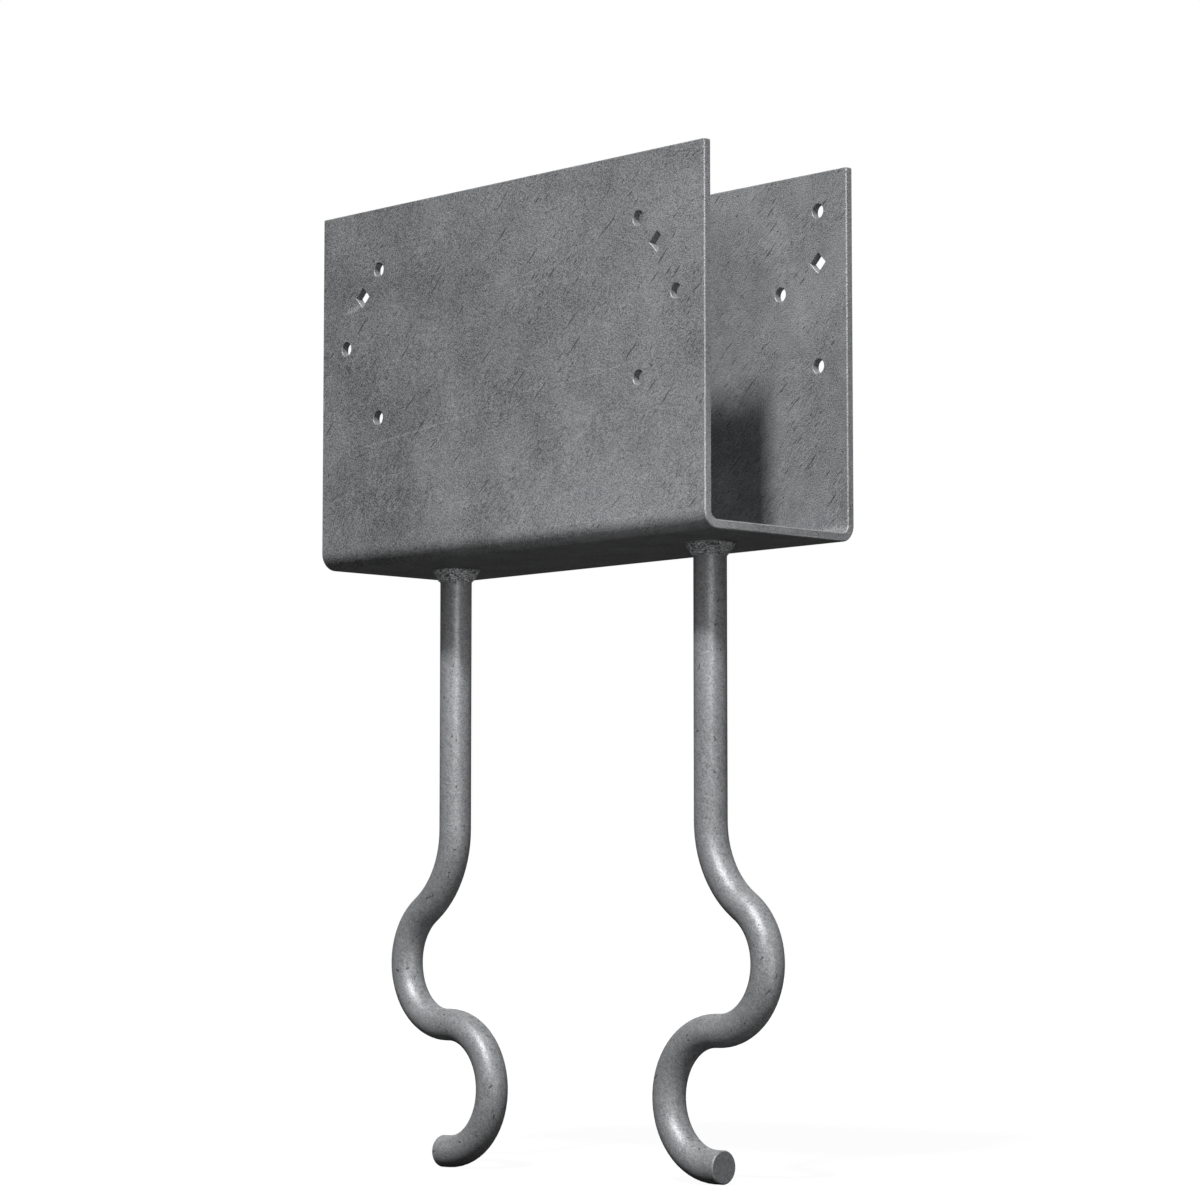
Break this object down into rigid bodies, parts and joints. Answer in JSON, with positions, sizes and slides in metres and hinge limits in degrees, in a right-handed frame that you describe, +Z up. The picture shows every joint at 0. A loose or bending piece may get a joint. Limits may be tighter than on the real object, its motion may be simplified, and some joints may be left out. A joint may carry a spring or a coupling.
{
  "type": "column cap",
  "caption": "U-shaped folded plate saddle that holds a timber beam on a concrete column, with bent rods to cast in.",
  "frame": {"origin": "middle of the saddle's underside, the plane that sits on the concrete", "axes": "+Z up towards the open top, the beam and the row of two rods along X, the flanges at -Y and +Y"},
  "size_m": [0.2794, 0.1012, 0.4874],
  "materials": {
    "saddle_plate": "hot-dip galvanised sheet, dull grey with fine mottling and handling scratches",
    "anchor_rods": "hot-dip galvanised round bar, satin grey",
    "weld_beads": "rippled weld bead under the same zinc"
  },
  "bodies": {
    "root": {"saddle": "saddle_plate", "anchor_rod_left": "anchor_rods", "anchor_rod_right": "anchor_rods", "weld_bead_left": "weld_beads", "weld_bead_right": "weld_beads"}
  },
  "joints": []
}
